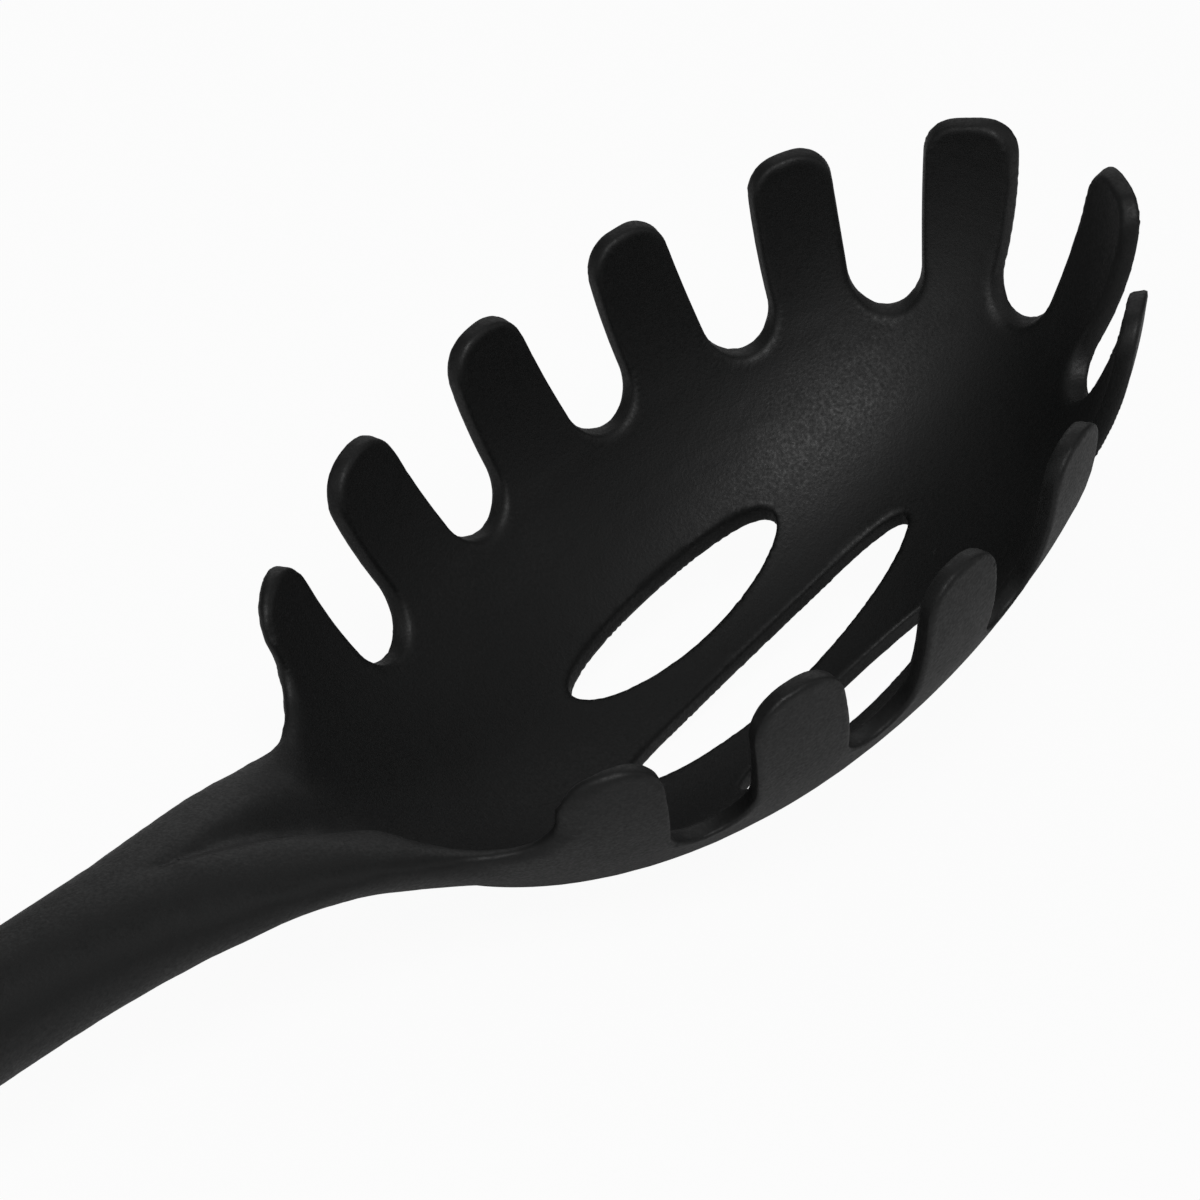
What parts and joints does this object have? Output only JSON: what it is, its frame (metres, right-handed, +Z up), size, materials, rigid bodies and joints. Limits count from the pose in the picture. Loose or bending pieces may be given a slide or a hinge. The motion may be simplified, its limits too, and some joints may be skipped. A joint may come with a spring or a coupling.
{
  "type": "pasta server",
  "caption": "Pasta server with a toothed, slotted bowl, a grooved neck, a soft rounded grip and a cap with a hanging hole.",
  "frame": {"origin": "centre of the footprint at table height, with the server lying on its bowl and the tail of its handle", "axes": "+X towards the tip of the bowl, +Y across the bowl to the left, +Z up out of the bowl"},
  "size_m": [0.3186, 0.0714, 0.0565],
  "materials": {
    "moulded_nylon": "satin, lightly grained, near black",
    "soft_grip": "matt, near black",
    "cap_plastic": "satin, near black"
  },
  "bodies": {
    "root": {"server_head": "moulded_nylon", "grip_sleeve": "soft_grip", "end_cap": "cap_plastic"}
  },
  "joints": []
}
